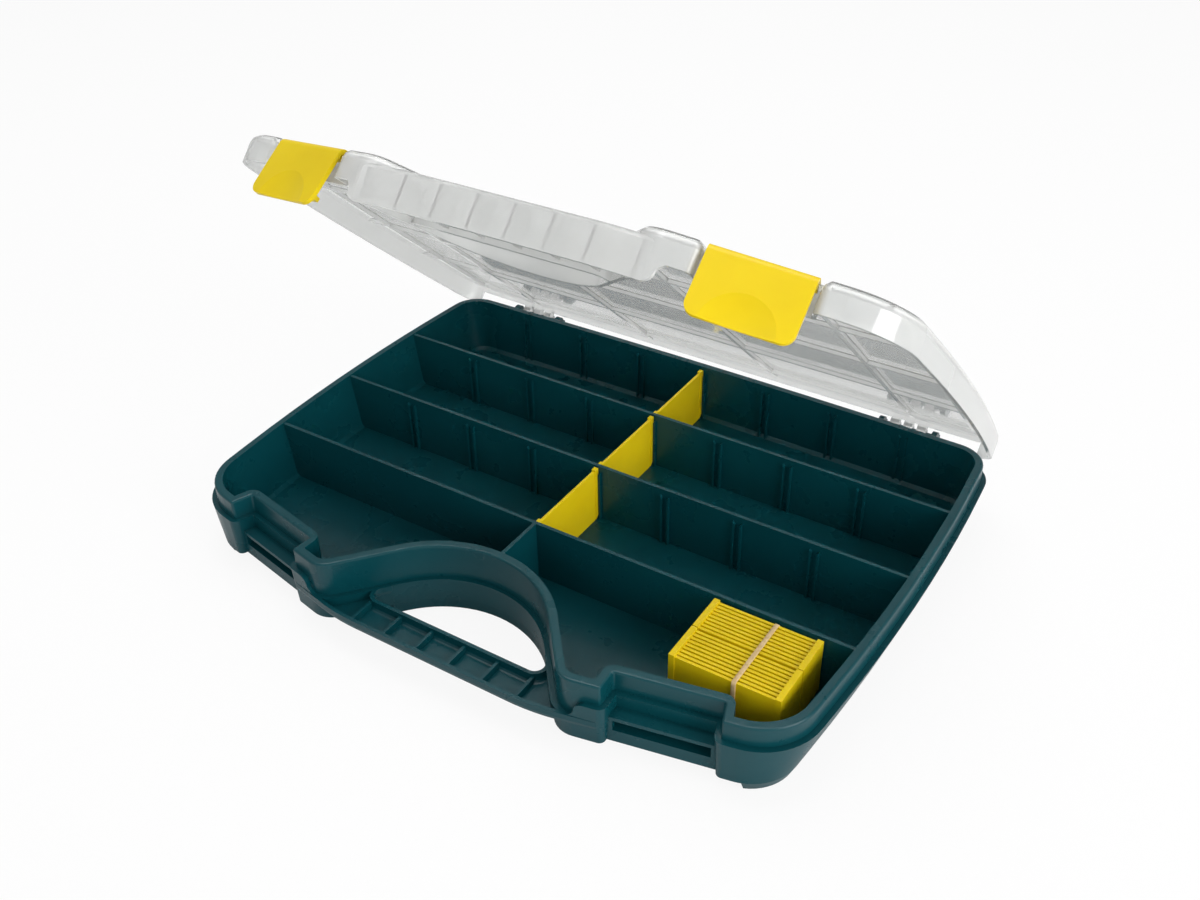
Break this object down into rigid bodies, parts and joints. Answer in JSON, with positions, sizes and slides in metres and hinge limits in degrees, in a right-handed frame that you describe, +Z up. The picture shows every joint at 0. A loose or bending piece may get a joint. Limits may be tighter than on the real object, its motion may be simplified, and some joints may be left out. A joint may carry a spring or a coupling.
{
  "type": "divided parts carry case",
  "caption": "Open carry case with a dark divided tray, a clear hinged lid, snap latches, loose dividers and a handle made in two halves.",
  "frame": {"origin": "on the plane that the feet stand on, on the case's middle plane, 50 mm behind the frontmost cross wall's centre line", "axes": "+X to the right along the hinge, +Y from the handle to the hinge, +Z up"},
  "size_m": [0.3758, 0.2876, 0.2269],
  "materials": {
    "tray_plastic": "satin moulded polypropylene",
    "clear_plastic": "slightly frosted clear polypropylene",
    "yellow_plastic": "smooth moulded polypropylene",
    "band_rubber": "translucent natural rubber"
  },
  "bodies": {
    "tray": {"tray": "tray_plastic"},
    "lid": {"lid": "clear_plastic"},
    "latch_left": {"latch_left": "yellow_plastic"},
    "latch_right": {"latch_right": "yellow_plastic"},
    "divider_row_1": {"divider_row_1": "yellow_plastic"},
    "divider_row_2": {"divider_row_2": "yellow_plastic"},
    "divider_row_3": {"divider_row_3": "yellow_plastic"},
    "spares": {"spare_divider_01": "yellow_plastic", "spare_divider_02": "yellow_plastic", "spare_divider_03": "yellow_plastic", "spare_divider_04": "yellow_plastic", "spare_divider_05": "yellow_plastic", "spare_divider_06": "yellow_plastic", "spare_divider_07": "yellow_plastic", "spare_divider_08": "yellow_plastic", "spare_divider_09": "yellow_plastic", "spare_divider_10": "yellow_plastic", "spare_divider_11": "yellow_plastic", "spare_divider_12": "yellow_plastic", "spare_divider_13": "yellow_plastic", "spare_divider_14": "yellow_plastic", "spare_divider_15": "yellow_plastic", "spare_divider_16": "yellow_plastic", "spare_divider_17": "yellow_plastic", "spare_divider_18": "yellow_plastic", "rubber_band": "band_rubber"}
  },
  "joints": [
    {"name": "lid_hinge", "type": "hinge", "parent": "tray", "child": "lid", "pos_m": [0, 0.139, 0.033], "axis": [-1, 0, 0], "range_deg": [-42.5, 62.5]},
    {"name": "latch_left_pivot", "type": "hinge", "parent": "lid", "child": "latch_left", "pos_m": [-0.11936, -0.0499, 0.2164], "axis": [-0.9799, 0.147, -0.1347], "range_deg": [-12, 93]},
    {"name": "latch_right_pivot", "type": "hinge", "parent": "lid", "child": "latch_right", "pos_m": [0.11936, -0.0499, 0.2164], "axis": [-0.9799, -0.147, 0.1347], "range_deg": [-12, 93]},
    {"name": "divider_row_1_lift", "type": "slide", "parent": "tray", "child": "divider_row_1", "axis": [0, 0, 1], "range_m": [0, 0.008]},
    {"name": "divider_row_2_lift", "type": "slide", "parent": "tray", "child": "divider_row_2", "axis": [0, 0, 1], "range_m": [0, 0.038]},
    {"name": "divider_row_3_lift", "type": "slide", "parent": "tray", "child": "divider_row_3", "axis": [0, 0, 1], "range_m": [0, 0.038]},
    {"name": "spares_lift", "type": "slide", "parent": "tray", "child": "spares", "axis": [0, 0, 1], "range_m": [0, 0.038]}
  ]
}
